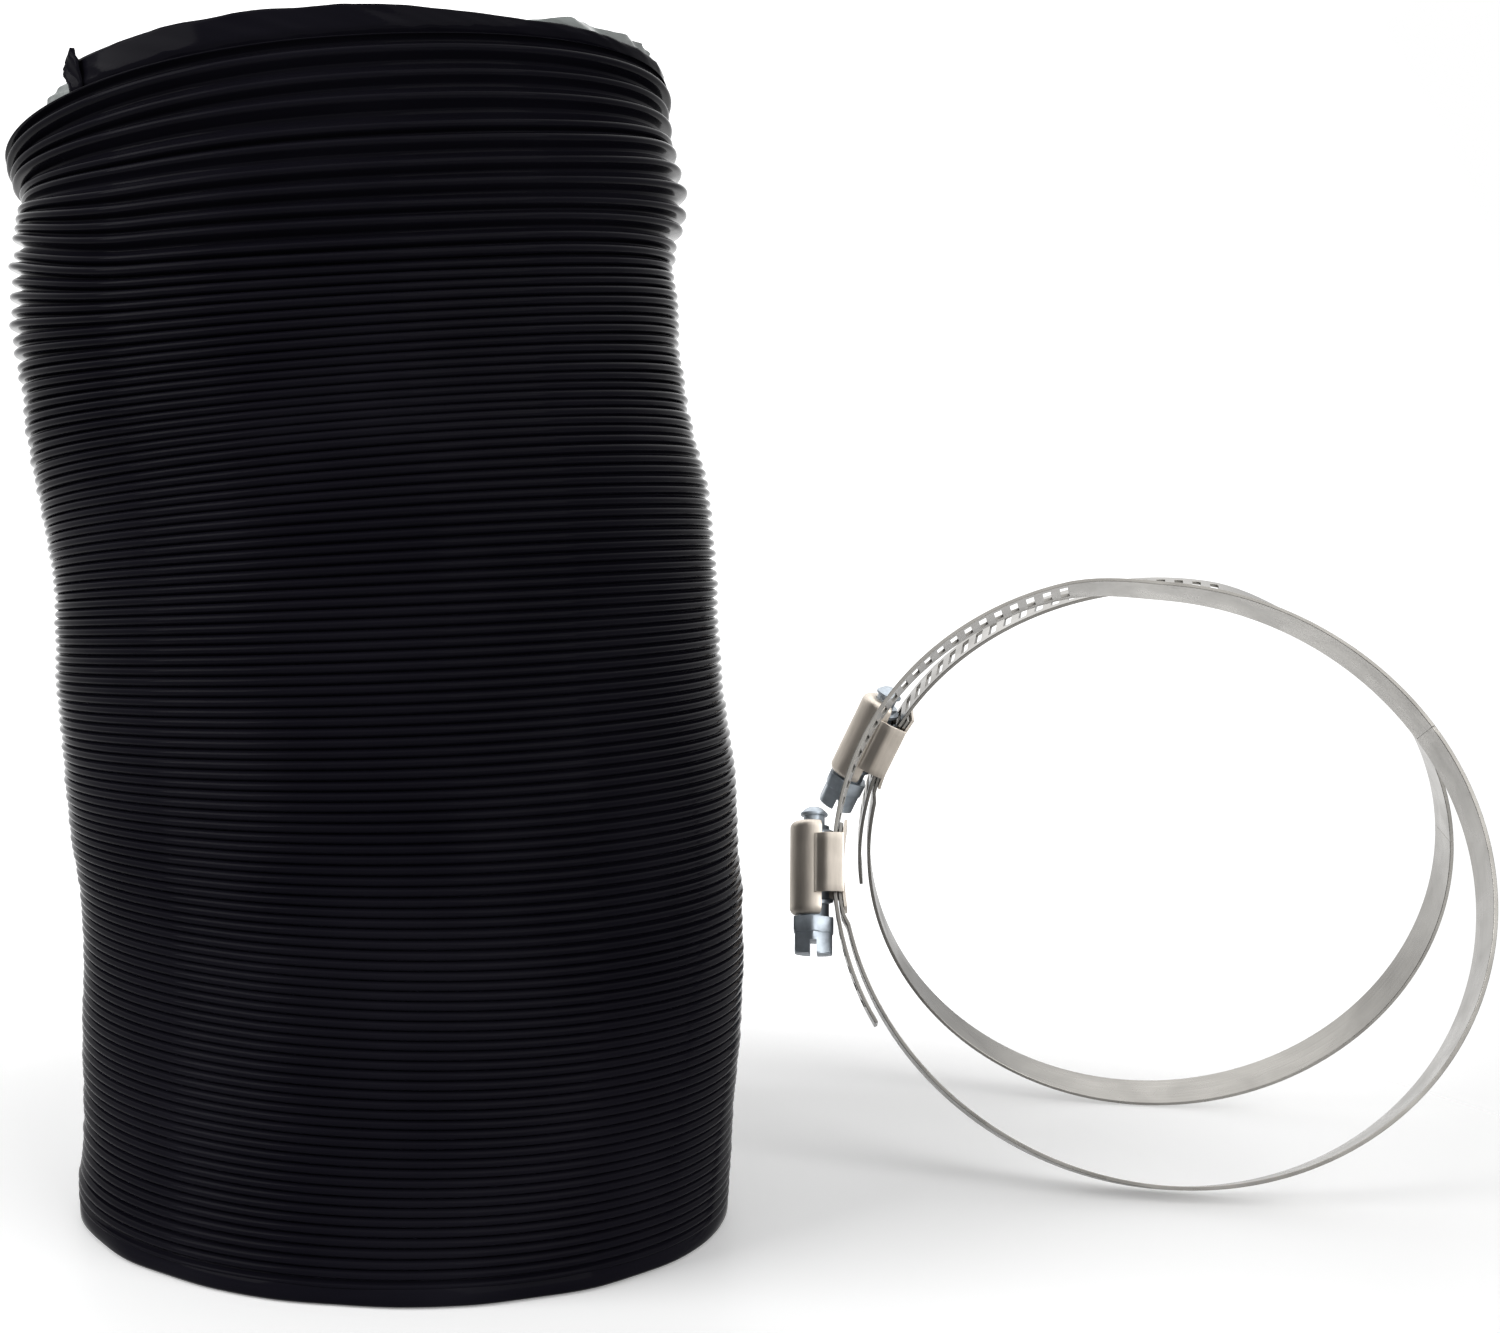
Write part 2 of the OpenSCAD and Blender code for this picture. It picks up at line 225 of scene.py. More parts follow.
def effect_group(name, inputs, outputs):
    """An empty shared effect: it takes a Vector and some numbers, and puts out numbers."""
    group = bpy.data.node_groups.new(name, "ShaderNodeTree")
    group.interface.new_socket("Vector", in_out="INPUT", socket_type="NodeSocketVector")
    for label, value in inputs.items():
        socket = group.interface.new_socket(label, in_out="INPUT", socket_type="NodeSocketFloat")
        socket.default_value = value
    for label in outputs:
        group.interface.new_socket(label, in_out="OUTPUT", socket_type="NodeSocketFloat")
    return group, group.nodes.new("NodeGroupInput").outputs, group.nodes.new("NodeGroupOutput").inputs


# creases: sharp ridges over soft waves, and a mask of the waves
film_creases, crease_in, crease_out = effect_group(
    "film_creases", {"Scale": 60.0, "Detail": 4.0}, ["Height", "Mask"])
ridges = add_node(film_creases, "TexNoise", {"Roughness": 0.55}, noise_type="RIDGED_MULTIFRACTAL")
soft_waves = add_node(film_creases, "TexNoise", {"Scale": 35.0})
crease_sum = add_node(film_creases, "Math", {1: 0.35}, operation="MULTIPLY_ADD")
crease_mask = add_node(film_creases, "MapRange", {"From Min": 0.35, "From Max": 0.75})
connect(film_creases,
        (crease_in["Vector"], ridges.inputs["Vector"]),
        (crease_in["Scale"], ridges.inputs["Scale"]),
        (crease_in["Detail"], ridges.inputs["Detail"]),
        (crease_in["Vector"], soft_waves.inputs["Vector"]),
        (ridges.outputs[0], crease_sum.inputs[0]),
        (soft_waves.outputs[0], crease_sum.inputs[2]),
        (crease_sum.outputs[0], crease_out["Height"]),
        (soft_waves.outputs[0], crease_mask.inputs["Value"]),
        (crease_mask.outputs[0], crease_out["Mask"]))

# smears left by hands: patches that are smoother or rougher
smears, smear_in, smear_out = effect_group("smears", {"Scale": 18.0, "Low": 0.3, "High": 0.45}, ["Roughness"])
smear_noise = add_node(smears, "TexNoise", {"Detail": 6.0, "Distortion": 0.6})
smear_range = add_node(smears, "MapRange", {"From Min": 0.3, "From Max": 0.7})
connect(smears,
        (smear_in["Vector"], smear_noise.inputs["Vector"]),
        (smear_in["Scale"], smear_noise.inputs["Scale"]),
        (smear_in["Low"], smear_range.inputs["To Min"]),
        (smear_in["High"], smear_range.inputs["To Max"]),
        (smear_noise.outputs[0], smear_range.inputs["Value"]),
        (smear_range.outputs[0], smear_out["Roughness"]))


def place_group(material, group, **values):
    """One of the shared effects, placed in a material with its own values."""
    return add_node(material.node_tree, "Group", values, node_tree=group)


def new_material(name, **values):
    """A material whose Principled shader has these plain values."""
    material = bpy.data.materials.new(name)
    material.use_nodes = True
    for socket, value in values.items():
        material.node_tree.nodes["Principled BSDF"].inputs[socket.replace("_", " ")].default_value = value
    return material


def cover(material, dark, light, mask, roughness, height, strength, depth):
    """Colour from dark to light by a mask, uneven roughness, and a fine relief."""
    tree = material.node_tree
    shader = tree.nodes["Principled BSDF"]
    colour = add_node(tree, "Mix", {"A": (*dark, 1), "B": (*light, 1)}, data_type="RGBA")
    bump = add_node(tree, "Bump", {"Strength": strength, "Distance": depth})
    connect(tree,
            (mask, colour.inputs["Factor"]),
            (colour.outputs["Result"], shader.inputs["Base Color"]),
            (roughness, shader.inputs["Roughness"]),
            (height, bump.inputs["Height"]),
            (bump.outputs["Normal"], shader.inputs["Normal"]))


def film_material(name, dark, light, crease_scale, crease_depth, rough, specular, alpha=1.0, ior=1.45):
    """Thin vinyl film: creased, smeared, with its roughness between two values."""
    material = new_material(name, Specular_IOR_Level=specular, Alpha=alpha, IOR=ior)
    where = add_node(material.node_tree, "TexCoord")
    creases = place_group(material, film_creases, Scale=crease_scale, Detail=5.0)
    marks = place_group(material, smears, Scale=22.0, Low=rough[0], High=rough[1])
    connect(material.node_tree,
            (where.outputs["Object"], creases.inputs["Vector"]),
            (where.outputs["Object"], marks.inputs["Vector"]))
    cover(material, dark, light, creases.outputs["Mask"], marks.outputs["Roughness"],
          creases.outputs["Height"], strength=0.6, depth=crease_depth)
    return material


black_film = film_material("black_film", dark=(0.0040, 0.0037, 0.0060), light=(0.0066, 0.0062, 0.0092),
                           crease_scale=240.0, crease_depth=0.00012, rough=(0.07, 0.15), specular=0.6,
                           ior=1.06)

rib = [(-0.66, 0.60), (-0.50, 0.28), (-0.25, 0.06), (0, 0), (0.25, 0.06), (0.50, 0.28), (0.66, 0.60)]
outer_film = wound_film("outer_film", [(up * mm, way * mm) for up, way in rib], valley=0.88 * mm, around=240)
outer_film.data.materials.append(black_film)
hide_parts("outer_ply")
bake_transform(outer_film)


# ---- Spring wire --------------------------------------------------------------------------------
# Drawn steel wire, 1.2 mm, wound in one helix from end to end. It lies between the two plies, so
# that only the ribs over it show.

wire_radius, wire_under_rib = 0.6 * mm, 0.80 * mm
steps_a_turn, wire_sides = 48, 6
wire_place = np.arange(0, (turns - 1) * steps_a_turn + 1) / steps_a_turn
middle, radius, z, _ = wire_at(wire_place)
wire_out = np.stack([np.cos(2 * np.pi * wire_place), np.sin(2 * np.pi * wire_place), 0 * wire_place], -1)
wire_line = wire_out * (radius - wire_under_rib)[:, None] + np.stack([middle, 0 * z, z], -1)
wire_up = np.array([0, 0, 1.0])
wire_points = []
for side_angle in 2 * np.pi * np.arange(wire_sides) / wire_sides:
    off_line = math.cos(side_angle) * wire_out + math.sin(side_angle) * wire_up
    wire_points.append(wire_line + wire_radius * off_line)
count = len(wire_line)
wire_ends = [[side * count for side in range(wire_sides)],
             [side * count + count - 1 for side in reversed(range(wire_sides))]]
wire = add_piece("wire", np.concatenate(wire_points).tolist(),
                 grid_faces(wire_sides, count, closed="rows") + wire_ends)

# drawn metal: fine lines along one direction
drawn_lines, lines_in, lines_out = effect_group(
    "drawn_lines", {"Along": 60.0, "Across": 6000.0}, ["Value", "Height"])
line_scale = add_node(drawn_lines, "CombineXYZ")
line_stretch = add_node(drawn_lines, "VectorMath", operation="MULTIPLY")
line_noise = add_node(drawn_lines, "TexNoise", {"Scale": 1.0, "Detail": 5.0, "Roughness": 0.65})
line_range = add_node(drawn_lines, "MapRange", {"From Min": 0.3, "From Max": 0.7})
connect(drawn_lines,
        (lines_in["Along"], line_scale.inputs["X"]),
        (lines_in["Across"], line_scale.inputs["Y"]),
        (lines_in["Across"], line_scale.inputs["Z"]),
        (lines_in["Vector"], line_stretch.inputs[0]),
        (line_scale.outputs[0], line_stretch.inputs[1]),
        (line_stretch.outputs[0], line_noise.inputs["Vector"]),
        (line_noise.outputs[0], line_range.inputs["Value"]),
        (line_range.outputs[0], lines_out["Value"]),
        (line_noise.outputs[0], lines_out["Height"]))


def metal_material(name, dark, light, along, across, rough, depth, lines_by="Object", patch=14.0,
                   metallic=1.0):
    """Drawn, rolled or pressed metal. lines_by says which coordinates its fine lines follow, and
    patch how small its duller spots are."""
    material = new_material(name, Metallic=metallic)
    tree = material.node_tree
    where = add_node(tree, "TexCoord")
    lines = place_group(material, drawn_lines, Along=along, Across=across)
    marks = place_group(material, smears, Scale=patch * 10, Low=rough[0], High=rough[1])
    spots = place_group(material, smears, Scale=patch * 6, Low=0.0, High=1.0)
    # half of the colour comes from the lines, and half from the spots
    half_spots = add_node(tree, "Math", {1: 0.5}, operation="MULTIPLY")
    mixed = add_node(tree, "Math", {1: 0.5}, operation="MULTIPLY_ADD")
    connect(tree,
            (where.outputs[lines_by], lines.inputs["Vector"]),
            (where.outputs["Object"], marks.inputs["Vector"]),
            (where.outputs["Object"], spots.inputs["Vector"]),
            (spots.outputs["Roughness"], half_spots.inputs[0]),
            (lines.outputs["Value"], mixed.inputs[0]),
            (half_spots.outputs[0], mixed.inputs[2]))
    cover(material, dark, light, mixed.outputs[0], marks.outputs["Roughness"], lines.outputs["Height"],
          strength=0.35, depth=depth)
    return material


spring_steel = metal_material("spring_steel", dark=(0.30, 0.30, 0.31), light=(0.45, 0.45, 0.46),
                              along=300.0, across=300.0, rough=(0.25, 0.4), depth=0.00001)
wire.data.materials.append(spring_steel)
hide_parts("spring_wire")
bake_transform(wire)


# ---- Inner ply ----------------------------------------------------------------------------------
# Thinner film inside the wire. Packed, it folds into the bore between two turns, so the inside
# looks like a stack of soft dark rings.

fold = [(-0.45, 1.95), (0, 1.55), (0.45, 1.95)]
inner_film = wound_film("inner_film", [(up * mm, way * mm) for up, way in fold], valley=2.6 * mm, around=160)
inner_film.data.materials.append(film_material(
    "inner_film", dark=(0.012, 0.012, 0.013), light=(0.03, 0.03, 0.032),
    crease_scale=300.0, crease_depth=0.00015, rough=(0.35, 0.5), specular=0.3))
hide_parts("inner_ply")
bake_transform(inner_film)


# ---- Lower hem ----------------------------------------------------------------------------------
# At the lower end both plies are cut level and folded over each other. The duct stands on this
# plain ring of doubled film, whose outside waves a little.

def ring_of_film(name, columns, section):
    """A closed ring. section(angle) gives its points at an angle, from edge to edge."""
    points = np.array([section(angle) for angle in np.arange(columns) / columns * 2 * np.pi])
    rows, across = points.shape[:2]
    return add_piece(name, points.reshape(-1, 3).tolist(), grid_faces(rows, across, closed="rows", flip=True))


hem_wave = knots(5, 40)


def hem_section(angle):
    wave = 0.25 * mm * float(hem_wave(angle / (2 * np.pi) * 36))
    outside = float(stack_radius(0.0)) - 0.1 * mm + wave
    middle = float(stack_middle(0.0)) * 0.5
    line = [(outside - 0.5 * mm, 2.75 * mm), (outside - 0.05 * mm, 2.1 * mm), (outside, 1.2 * mm),
            (outside - 0.05 * mm, 0.4 * mm), (outside - 0.4 * mm, 0.0), (outside - 1.4 * mm, 0.0),
            (51.2 * mm, 0.0), (51.05 * mm, 0.5 * mm), (51.1 * mm, 2.9 * mm)]
    return [(middle + r * math.cos(angle), r * math.sin(angle), z) for r, z in line]


hem = ring_of_film("hem", 360, hem_section)
hem.data.materials.append(black_film)
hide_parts("lower_hem")
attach(hem, "duct")


# ---- Upper collar -------------------------------------------------------------------------------
# Above the last turn the outer film goes on as a plain thin sleeve, cut off by hand: its rim slopes,
# its wound edge shows as a low step, and on the left it is torn away down to the last rib.

top_of_turns = float(turn_height(float(turns)))
collar_foot = top_of_turns - 0.9 * mm
collar_middle, collar_radius = -11.0 * mm, 54.1
tear = knots(12, 200)
rim_wave = knots(14, 60)
# height of the cut rim over the ground, in mm, at angles in degrees counted from the right
rim_angles = [0, 60, 90, 150, 180, 228, 245, 262, 302, 321, 336, 355, 360]
rim_levels = [185.0, 182.8, 181.0, 177.4, 176.0, 177.4, 178.9, 179.9, 181.2, 182.8, 184.0, 185.0, 185.0]
# the two edges of the torn stretch, each from and to, in degrees
back_edge, front_edge = (165.0, 175.0), (223.1, 226.1)
least_height = 0.9 * mm


def tipped(z, angle):
    """A height over the level turns, moved as the last turn has moved at that angle."""
    return z + float(settled(float(turns), angle)) - top_of_turns


def rim_at(turned):
    """Level of the rim at an angle in degrees, with its corners rounded."""
    return sum(float(np.interp((turned + d) % 360, rim_angles, rim_levels)) for d in (-8, -4, 0, 4, 8)) / 5


def rim_height(angle):
    """Height of the black sleeve above its foot."""
    turned = math.degrees(angle) % 360
    full = rim_at(turned) * mm - tipped(collar_foot, angle) + 0.22 * mm * float(rim_wave(turned / 360 * 50))
    torn = least_height + 0.25 * mm * (1 + float(tear(turned * 0.9)))
    whole = ramp(turned, *front_edge) if turned > 200 else 1 - ramp(turned, *back_edge)
    return max(torn + (full - torn) * smooth(whole), least_height)


def collar_section(angle):
    top = rim_height(angle)
    turned = math.degrees(angle) % 360
    lap_at = 0.2 + 0.5 * ramp(turned, 225, 335)
    line = []
    for part in np.linspace(0, 1, 16):
        # the film hugs the last rib, and stands further out once it is clear of it
        clear_of_rib = ramp(part * top / mm, 1.3, 2.6)
        out = -0.95 + 0.75 * clear_of_rib + 0.10 * clear_of_rib * float(tear((turned * 0.5 + part * 9) % 190))
        # below its wound edge the sleeve is a double layer
        if part < lap_at:
            out += 0.14 * clear_of_rib
        out += 0.15 * part * math.sin(3 * angle + 1)
        r = (collar_radius + out) * mm
        line.append((collar_middle + r * math.cos(angle), r * math.sin(angle),
                     tipped(collar_foot + part * top, angle)))
    return line


def thicken(piece, thickness):
    """Film or sheet: the mesh is its outside, and its thickness lies inwards."""
    sheet = piece.modifiers.new("sheet", "SOLIDIFY")
    sheet.thickness = thickness
    sheet.offset = -1


collar = ring_of_film("collar", 360, collar_section)
collar.data.materials.append(black_film)
thicken(collar, 0.22 * mm)
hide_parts("upper_collar")
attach(collar, "free_end")


# ---- Upper liner --------------------------------------------------------------------------------
# The end of the clear inner film, crushed inside the collar. It stands above the rim on the right
# and shows where the collar is torn.

crush_a, crush_b, crush_c = knots(31, 120), knots(33, 120), knots(35, 40)
liner_radius = 52.6
liner_below = 2.5 * mm


def liner_section(angle):
    turned = math.degrees(angle) % 360
    right = ramp(turned, 296, 312) * (1 - ramp(turned, 338, 352))
    left = math.exp(-(((turned - 200) / 14) ** 2))
    # how far it stands above the collar's foot: by the rim, less on the left, more on the right
    top = rim_at(turned) * mm - tipped(collar_foot, angle) + (2.9 * right - 0.9 - 2.2 * left) * mm
    top += (0.34 * float(crush_c(turned / 360 * 38)) + 0.06 * float(crush_a(turned / 3.2))) * mm
    line = []
    for part in np.linspace(0, 1, 18):
        crush = (0.55 * float(crush_a((turned / 4.1 + part * 6) % 118))
                 + 0.45 * float(crush_b((turned / 2.3 + part * 13) % 118)))
        r = (liner_radius - 0.6 * part + crush * (0.25 + 0.75 * part)) * mm
        z = tipped(collar_foot - liner_below + part * (top + liner_below), angle)
        line.append((collar_middle + r * math.cos(angle), r * math.sin(angle), z))
    return line


liner = ring_of_film("liner", 720, liner_section)
# painted highlight: the clear film's light tone, laid over the waves of its creases, stands in for bright
# streaks of sheen on the crumpled film, against a near-black tone
liner.data.materials.append(film_material(
    "clear_film", dark=(0.001, 0.003, 0.003), light=(0.46, 0.52, 0.50),
    crease_scale=260.0, crease_depth=0.0030, rough=(0.05, 0.14), specular=0.5, alpha=0.95))
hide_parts("upper_liner")
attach(liner, "free_end")


# ---- Torn film end ------------------------------------------------------------------------------
# The end of the wound strip, torn off by hand. It stands up from the rim as a ragged tongue.

tongue_at = math.radians(225.9)
tongue_foot = tipped(collar_foot + 2.0 * mm, tongue_at)
# its outline in mm, from the foot up: left edge, height, right edge
tongue_outline = [
    (-0.9, -1.3, 2.0), (-0.8, 0.8, 2.0), (-1.15, 1.3, 2.0), (-1.2, 1.6, 2.0), (-1.75, 2.1, 1.95),
    (-1.95, 2.6, 1.9), (-1.85, 3.0, 1.9), (-2.15, 3.4, 1.85), (-1.7, 4.0, 1.8), (-1.75, 4.3, 1.6),
    (-1.4, 4.8, 1.1), (-0.7, 5.3, 0.95), (-0.45, 5.45, 0.95), (0.15, 5.8, 0.85)]

tongue_points = []
for left, height, right in tongue_outline:
    for part in np.linspace(0, 1, 7):
        angle = tongue_at + (left + (right - left) * part) / 54.0
        r = (54.35 + 0.25 * math.sin(part * 5 + height) + 0.10 * height) * mm
        tongue_points.append((collar_middle + r * math.cos(angle), r * math.sin(angle),
                              tongue_foot + height * mm))
torn_end = add_piece("torn_end", tongue_points, grid_faces(len(tongue_outline), 7))
torn_end.data.materials.append(black_film)
thicken(torn_end, 0.3 * mm)
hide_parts("film_tab")
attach(torn_end, "free_end")


# ---- Clamp bands --------------------------------------------------------------------------------
# Stainless strip, 9 by 0.65 mm, rolled round. One end is held on the saddle under the housing; the
# other is cut through with slanted slots, passes under the worm and runs out as a loose tail.

joints = {joint["name"]: joint for joint in frame["joints"]}


def clamp_place(side):
    """A clamp's own axes: X from the loop's centre to the screw, Y along the screw to its head."""
    centre = Vector(joints[side + "_band_draw"]["pos_m"])
    screw = joints[side + "_screw_turn"]
    out = (Vector(screw["pos_m"]) - centre).normalized()
    along = -Vector(screw["axis"]).normalized()
    place = Matrix((out, along, out.cross(along))).transposed().to_4x4()
    place.translation = centre
    return place


clamp_places = {side: clamp_place(side) for side in ("front", "rear")}

# in mm, as everything about the clamps
loop_radius, slotted_radius = 52.0, 54.15
half_band, band_thickness = 4.5, 0.65
slot_pitch, half_slot_length, half_slot_width = 3.14, 2.8, 0.75
thread_middle_radius = 3.125
slot_step = slot_pitch / slotted_radius
slot_slant = slot_pitch / (2 * math.pi * thread_middle_radius)
# in degrees round the loop from the screw
fixed_end, joined_at, tail_end = -8, 210, 31
first_slot, last_slot = -23, 8
# the same place as joined_at, but in radians and counted the other way round
lengths_meet = -2.62


def round_edges(piece, width, sharp_from):
    """The small radius that is left on every edge sharper than sharp_from degrees."""
    edge = piece.modifiers.new("edge", "BEVEL")
    edge.width = width
    edge.segments = 2
    edge.limit_method = "ANGLE"
    edge.angle_limit = math.radians(sharp_from)


def apply_modifiers(piece):
    bpy.context.view_layer.update()
    made = bpy.data.meshes.new_from_object(piece.evaluated_get(bpy.context.evaluated_depsgraph_get()))
    piece.modifiers.clear()
    piece.data = made


def strip(name, stations, inside):
    """Steel strip along an arc. stations are lines across it, as (angle in radians, slant, whether
    a slot runs on to the next line); inside(angle) is the radius of its inner face."""
    verts, faces, lines = [], [], []
    for angle, slant, slot_here in stations:
        row = []
        for w in (-half_band, -half_slot_length, half_slot_length, half_band):
            a = angle + slant * np.clip(w, -half_slot_length, half_slot_length) / slotted_radius
            row.append((len(verts), len(verts) + 1))
            for r in (inside(a), inside(a) + band_thickness):
                verts.append((r * mm * math.cos(a), r * mm * math.sin(a), w * mm))
        lines.append((row, slot_here))
    for (a, slot_here), (b, _) in zip(lines, lines[1:]):
        # the inner and the outer face, in three lanes of which a slot leaves out the middle one
        for j in range(3):
            if slot_here and j == 1:
                continue
            faces.append((a[j][0], b[j][0], b[j + 1][0], a[j + 1][0]))
            faces.append((a[j][1], a[j + 1][1], b[j + 1][1], b[j][1]))
        # the strip's two edges, and the four walls of a slot
        faces.append((a[0][0], a[0][1], b[0][1], b[0][0]))
        faces.append((a[3][0], b[3][0], b[3][1], a[3][1]))
        if slot_here:
            faces.append((a[1][0], b[1][0], b[1][1], a[1][1]))
            faces.append((a[2][0], a[2][1], b[2][1], b[2][0]))
            faces.append((a[1][0], a[1][1], a[2][1], a[2][0]))
            faces.append((b[1][0], b[2][0], b[2][1], b[1][1]))
    for row, flip in ((lines[0][0], 1), (lines[-1][0], -1)):
        for j in range(3):
            faces.append((row[j][0], row[j + 1][0], row[j + 1][1], row[j][1])[::flip])
    piece = add_piece(name, verts, faces, sharp_from=35)
    # the strip's rolled lines follow its length: the plain one runs on past half a turn, up to where
    # the slotted one begins
    lay = piece.data.uv_layers.new(name="along")
    for loop in piece.data.loops:
        x, y, z = piece.data.vertices[loop.vertex_index].co
        angle = math.atan2(y, x)
        if angle < lengths_meet:
            angle += 2 * math.pi
        lay.data[loop.index].uv = (angle * loop_radius * mm, z)
    round_edges(piece, 0.1 * mm, 40)
    return piece


def smooth_step(value, start, end):
    return smooth(ramp(value, start, end))


def fixed_radius(angle):
    """The plain length lies on the saddle, and steps down beside it to the inside of the loop."""
    return loop_radius + band_thickness * (1 - smooth_step(math.degrees(angle), 9.4, 12.4))


def drawn_radius(angle):
    """The slotted length climbs over the plain one, and its tail stands off a little."""
    turned = math.degrees(angle)
    return loop_radius + 1.5 * smooth_step(turned, -96, -76) + 0.35 * smooth_step(turned, 8, 31)


band_steel = metal_material("band_steel", dark=(0.155, 0.148, 0.138), light=(0.30, 0.29, 0.27), along=40.0,
                            across=5200.0, rough=(0.22, 0.36), depth=0.00002, lines_by="UV")


for side in ("front", "rear"):
    plain_lines = [(math.radians(a), 0, False) for a in np.arange(fixed_end, joined_at + 0.01, 2)]
    plain = strip(side + "_plain_band", plain_lines, fixed_radius)
    slotted_lines = [(math.radians(a), 0, False) for a in np.arange(joined_at - 360, -79.9, 2)]
    half_slot = half_slot_width / slotted_radius
    for slot in range(first_slot, last_slot + 1):
        middle = slot * slot_step
        slotted_lines += [(middle - slot_step / 2, slot_slant, False), (middle - half_slot, slot_slant, True),
                          (middle + half_slot, slot_slant, False)]
    slotted_lines += [((last_slot + 0.5) * slot_step, slot_slant, False), (math.radians(tail_end), 0, False)]
    drawn = strip(side + "_drawn_band", slotted_lines, drawn_radius)
    for piece in (plain, drawn):
        apply_modifiers(piece)
        piece.data.transform(clamp_places[side])
        piece.data.materials.append(band_steel)
    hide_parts(side + "_band")
    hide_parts(side + "_slotted_end")
    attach(plain, side + "_clamp")
    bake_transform(drawn)


# ---- Clamp housings -----------------------------------------------------------------------------
# Bright pressed stainless sheet: a barrel with drawn-in ends over the worm, and a strap that goes
# down both sides of the band to the saddle, which it is crimped to.

housing_steel = metal_material("housing_steel", dark=(0.50, 0.45, 0.39), light=(0.76, 0.69, 0.61),
                               along=1500.0, across=120.0, rough=(0.36, 0.50), depth=0.00002, metallic=0.72)
worm_x, barrel_inside, wall = 57.35, 3.7, 0.6
barrel_low, barrel_high = -8.1, 9.1
barrel_half_open = 1.93
tip_hole, head_hole = 1.98, 2.83
pressed_sheet = 0.55 * mm
strap_half = 5.35
# the strap's side in section, from the barrel past the band to the saddle: X, and distance from the middle
strap_line = [(57.14, 4.32), (56.8, 4.33), (56.5, 4.42), (56.1, 4.62), (55.5, 5.05), (55.1, 5.25),
              (54.6, 5.3), (53.6, 5.3), (52.9, 5.3), (52.4, 5.28), (52.05, 5.2)]


def barrel_radius(y):
    """Radius of the barrel's outside along the screw: full in the middle, drawn in at both ends."""
    near = min(y - barrel_low, barrel_high - y)
    shoulder = 1.3
    if near >= shoulder:
        return barrel_inside + wall
    part = 1 - near / shoulder
    return barrel_inside + wall - shoulder * (1 - math.sqrt(max(1 - part * part, 0)))


def barrel_ring(y, radius):
    """Points round the screw at y, from one side of the band to the other."""
    return [((worm_x + radius * math.cos(a)) * mm, y * mm, radius * math.sin(a) * mm)
            for a in np.linspace(-barrel_half_open, barrel_half_open, 41)]


for side in ("front", "rear"):
    near_end = [0.0, 0.08, 0.22, 0.42, 0.7, 1.0, 1.3, 1.7]
    stations = [barrel_low + v for v in near_end]
    stations += list(np.linspace(barrel_low + 2.75, barrel_high - 2.75, 14))
    stations += [barrel_high - v for v in reversed(near_end)]
    rings = [barrel_ring(y, barrel_radius(y)) for y in stations]
    columns = len(rings[0])
    faces = grid_faces(len(rings), columns, flip=True)
    # the drawn-in ends close to a hole round the screw
    for row, hole in ((0, tip_hole), (len(stations) - 1, head_hole)):
        first = len(rings) * columns
        rings.append(barrel_ring(stations[row], hole))
        for c in range(columns - 1):
            face = (row * columns + c, row * columns + c + 1, first + c + 1, first + c)
            faces.append(face if row == 0 else face[::-1])
    barrel = add_piece(side + "_barrel", [point for ring in rings for point in ring], faces, sharp_from=50)
    thicken(barrel, pressed_sheet)
    round_edges(barrel, 0.08 * mm, 50)
    housing = [barrel]
    for mirror, tag in ((1, "left"), (-1, "right")):
        rows = np.linspace(-strap_half, strap_half, 9)
        points = [(x * mm, y * mm, z * mirror * mm) for y in rows for x, z in strap_line]
        strap = add_piece(side + "_strap_" + tag, points,
                          grid_faces(len(rows), len(strap_line), flip=mirror < 0))
        thicken(strap, pressed_sheet)
        round_edges(strap, 0.1 * mm, 50)
        housing.append(strap)
    for piece in housing:
        apply_modifiers(piece)
        piece.data.materials.append(housing_steel)
        piece.matrix_world = clamp_places[side]
        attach(piece, side + "_clamp")
    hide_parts(side + "_housing")


# ---- Saddles ------------------------------------------------------------------------------------
# The curved plate of pressed stainless sheet inside the loop, under the band's fixed end. It keeps
# the solid's own mesh, because little of it shows, and takes the housing's steel.

for side in ("front", "rear"):
    saddle = frame["nodes"][side + "_saddle"]
    saddle.data.materials.clear()
    saddle.data.materials.append(housing_steel)


# ---- Screws -------------------------------------------------------------------------------------
# Zinc-plated steel: a domed tip, a thin neck in the barrel's end, the worm whose thread runs in the
# band's slots, and a hexagon head with a flange and a slot for a screwdriver.

zinc_steel = metal_material("zinc_steel", dark=(0.30, 0.34, 0.38), light=(0.56, 0.62, 0.68), along=500.0,
                            across=500.0, rough=(0.34, 0.52), depth=0.00003, patch=40.0, metallic=0.6)
# along the screw and out from its axis, in mm
shank_line = [
    (-10.9, 0.5), (-10.88, 0.95), (-10.6, 1.5), (-10.2, 1.95), (-9.85, 2.3), (-9.7, 2.44), (-9.45, 2.45),
    (-9.25, 2.38), (-9.2, 1.9), (-7.35, 1.9), (-7.3, 2.72), (9.42, 2.72), (9.45, 2.7)]
thread_low, thread_high, thread_run_out = -7.0, 8.2, 0.8
thread_root, worm_core, thread_height = 2.6, 2.7, 0.78
thread_half_root, thread_half_crest = 0.62, 0.28
driver_slot_half, driver_slot_foot = 0.6, 13.7


def round_solid(name, stations, radius_at, around, sharp_from):
    """A closed solid along the screw. radius_at(station, angle) is its radius."""
    points = []
    for station in stations:
        for angle in 2 * math.pi * np.arange(around) / around:
            r = radius_at(station, angle)
            points.append((r * math.cos(angle) * mm, station[0] * mm, r * math.sin(angle) * mm))
    last = (len(stations) - 1) * around
    ends = [tuple(range(around)), tuple(range(last, last + around))[::-1]]
    return add_piece(name, points, grid_faces(len(stations), around, closed="columns", flip=True) + ends,
                     sharp_from)


